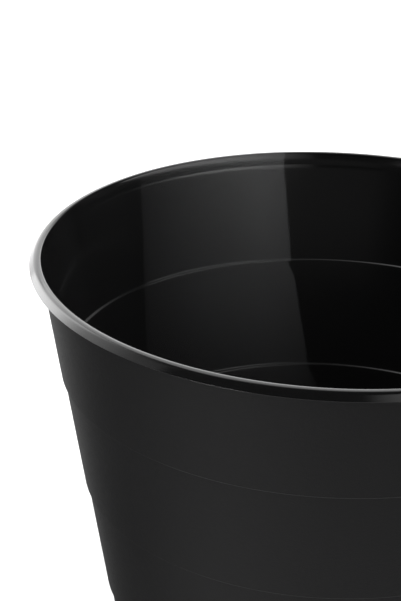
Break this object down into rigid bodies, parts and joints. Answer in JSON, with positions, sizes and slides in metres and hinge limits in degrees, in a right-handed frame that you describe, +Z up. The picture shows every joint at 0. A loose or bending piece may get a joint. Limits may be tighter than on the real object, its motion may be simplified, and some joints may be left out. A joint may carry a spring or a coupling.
{
  "type": "florist bucket",
  "caption": "Open tapered plastic bucket with an outward rim, shallow nesting ledges in its wall and a foot ring, for standing cut flowers in water.",
  "frame": {"origin": "centre of the underside of the foot ring, on the bucket's axis", "axes": "+Z up along the bucket's axis, through the mouth"},
  "size_m": [0.28, 0.28, 0.222],
  "materials": {
    "moulded_wall": "black polypropylene, fine spark-grained outside and smooth and glossy inside",
    "polished_rim": "black polypropylene, smooth and glossy",
    "moulded_base": "black polypropylene, satin, with scuffs where it stands"
  },
  "bodies": {
    "root": {"rim_lip": "polished_rim", "rim_crown": "polished_rim", "rim_skirt": "polished_rim", "mouth_flare": "polished_rim", "top_wall": "moulded_wall", "top_ledge": "moulded_wall", "upper_wall": "moulded_wall", "middle_ledge": "moulded_wall", "lower_wall": "moulded_wall", "bottom_ledge": "moulded_wall", "base_wall": "moulded_wall", "base_corner": "moulded_base", "foot_ring": "moulded_base", "floor_panel": "moulded_base", "floor_step": "moulded_base", "centre_panel": "moulded_base", "gate_mark": "moulded_base"}
  },
  "joints": []
}
